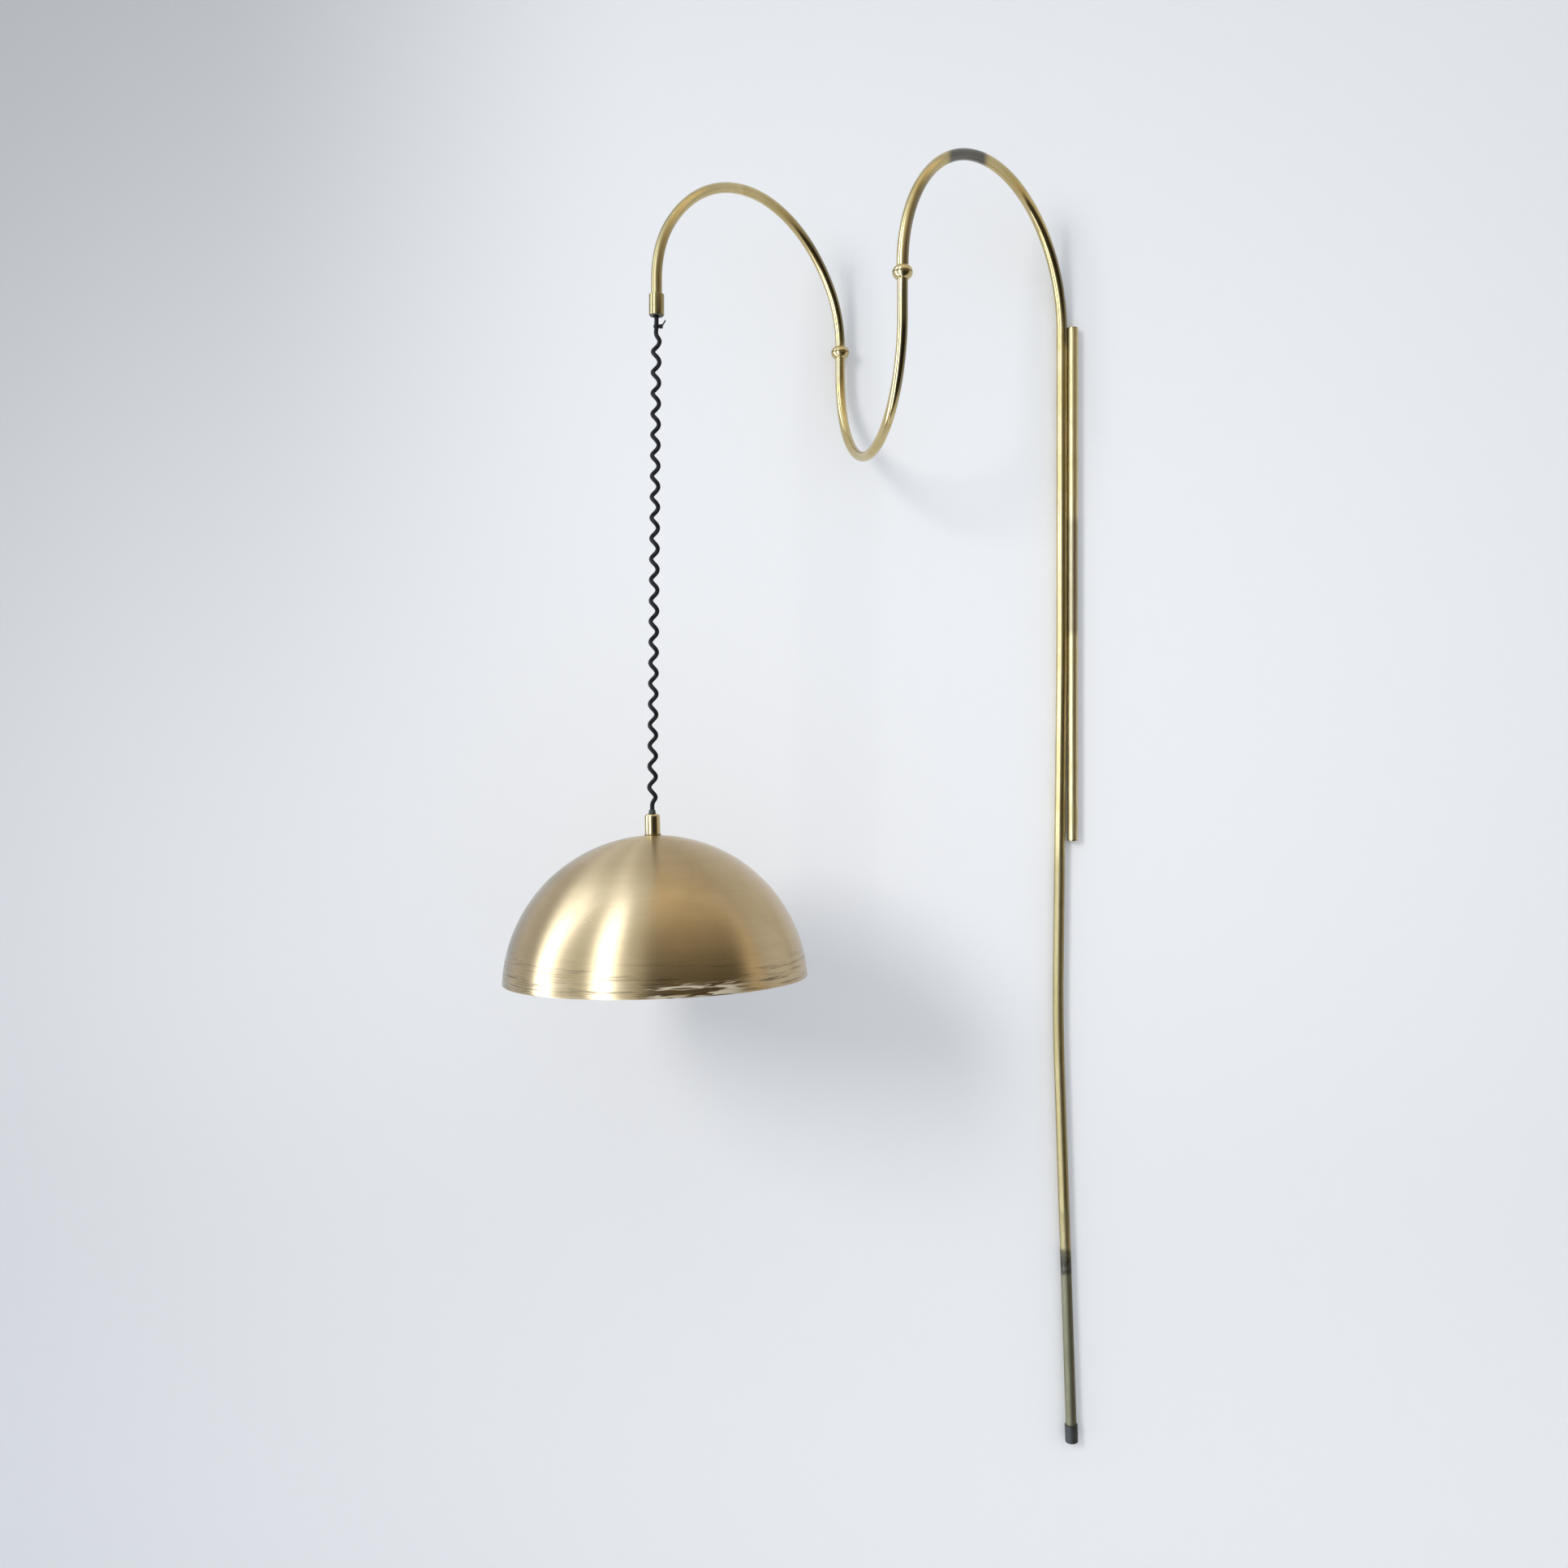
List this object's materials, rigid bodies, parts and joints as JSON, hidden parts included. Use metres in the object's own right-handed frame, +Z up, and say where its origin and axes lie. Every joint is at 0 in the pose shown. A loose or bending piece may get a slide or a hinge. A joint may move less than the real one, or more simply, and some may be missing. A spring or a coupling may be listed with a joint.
{
  "type": "hanging pendant wall sconce",
  "caption": "Wall sconce: a bent brass stem on a wall tube carries swivelling arched arms, from which a brass dome shade hangs on a curly black cord.",
  "frame": {"origin": "on the wall plane, in the middle of the wall bar's back face, behind the middle of the wall tube", "axes": "+X right along the wall, +Y into the wall, +Z up; the lamp is on the -Y side"},
  "size_m": [0.7165, 0.4772, 1.6865],
  "materials": {
    "brass_tube": "polished",
    "brass_turned": "polished",
    "brass_shade": "brushed",
    "brass_fitting": "satin",
    "steel": "satin",
    "black_rubber": "matte",
    "black_cord": "matte",
    "lead_sheath": "matte",
    "nylon": "matte",
    "phenolic": "gloss",
    "opal_glass": "opal",
    "cap_metal": "satin"
  },
  "bodies": {
    "wall_stem": {"wall_bar": "steel", "wall_tube": "brass_tube", "wall_tube_top_plug": "brass_turned", "wall_tube_bottom_plug": "brass_turned", "upper_saddle": "brass_fitting", "middle_saddle": "brass_fitting", "lower_saddle": "brass_fitting", "stem_tube": "brass_tube", "stem_lead": "lead_sheath", "foot_cap": "black_rubber", "inlet_terminal": "phenolic", "inner_swivel_upper_bead": "brass_turned"},
    "u_link": {"inner_swivel_lower_bead": "brass_turned", "inner_swivel_stud": "brass_fitting", "inner_swivel_washer": "nylon", "inner_swivel_grub_screw": "steel", "u_tube": "brass_tube", "u_lead": "lead_sheath", "outer_swivel_lower_bead": "brass_turned"},
    "outer_arm": {"outer_swivel_upper_bead": "brass_turned", "outer_swivel_stud": "brass_fitting", "outer_swivel_washer": "nylon", "outer_swivel_grub_screw": "steel", "outer_arch_tube": "brass_tube", "outer_lead": "lead_sheath", "end_sleeve": "brass_turned", "seat_ring": "brass_fitting"},
    "swing_liner": {"ball_liner": "nylon"},
    "pendant": {"cord_ball": "nylon", "curly_cord": "black_cord", "cord_tie": "black_cord", "strain_relief": "black_rubber", "cord_grip": "brass_turned", "grip_screw": "steel", "grip_flange": "brass_turned", "hollow_nipple": "steel", "shade": "brass_shade", "shade_washer": "steel", "lock_nut": "steel", "lampholder_cap": "brass_fitting", "lampholder_shell": "brass_fitting", "lampholder_insulator": "phenolic", "lampholder_screw_shell": "brass_fitting", "centre_contact": "brass_fitting", "lampholder_lead": "lead_sheath", "bulb_cap": "cap_metal", "bulb_glass": "opal_glass"}
  },
  "joints": [
    {"name": "inner_swivel", "type": "hinge", "parent": "wall_stem", "child": "u_link", "pos_m": [-0.24233, -0.28029, 0.3325], "axis": [0, 0, 1], "range_deg": [-5, 90]},
    {"name": "outer_swivel", "type": "hinge", "parent": "u_link", "child": "outer_arm", "pos_m": [-0.31422, -0.02107, 0.3125], "axis": [0, 0, 1], "range_deg": [-15, 40]},
    {"name": "swing_to_wall", "type": "hinge", "parent": "outer_arm", "child": "swing_liner", "pos_m": [-0.53033, -0.29968, 0.2875], "axis": [1, 0, 0], "range_deg": [-8, 8]},
    {"name": "swing_along_wall", "type": "hinge", "parent": "swing_liner", "child": "pendant", "pos_m": [-0.53033, -0.29968, 0.2875], "axis": [0, 1, 0], "range_deg": [-8, 8]}
  ]
}
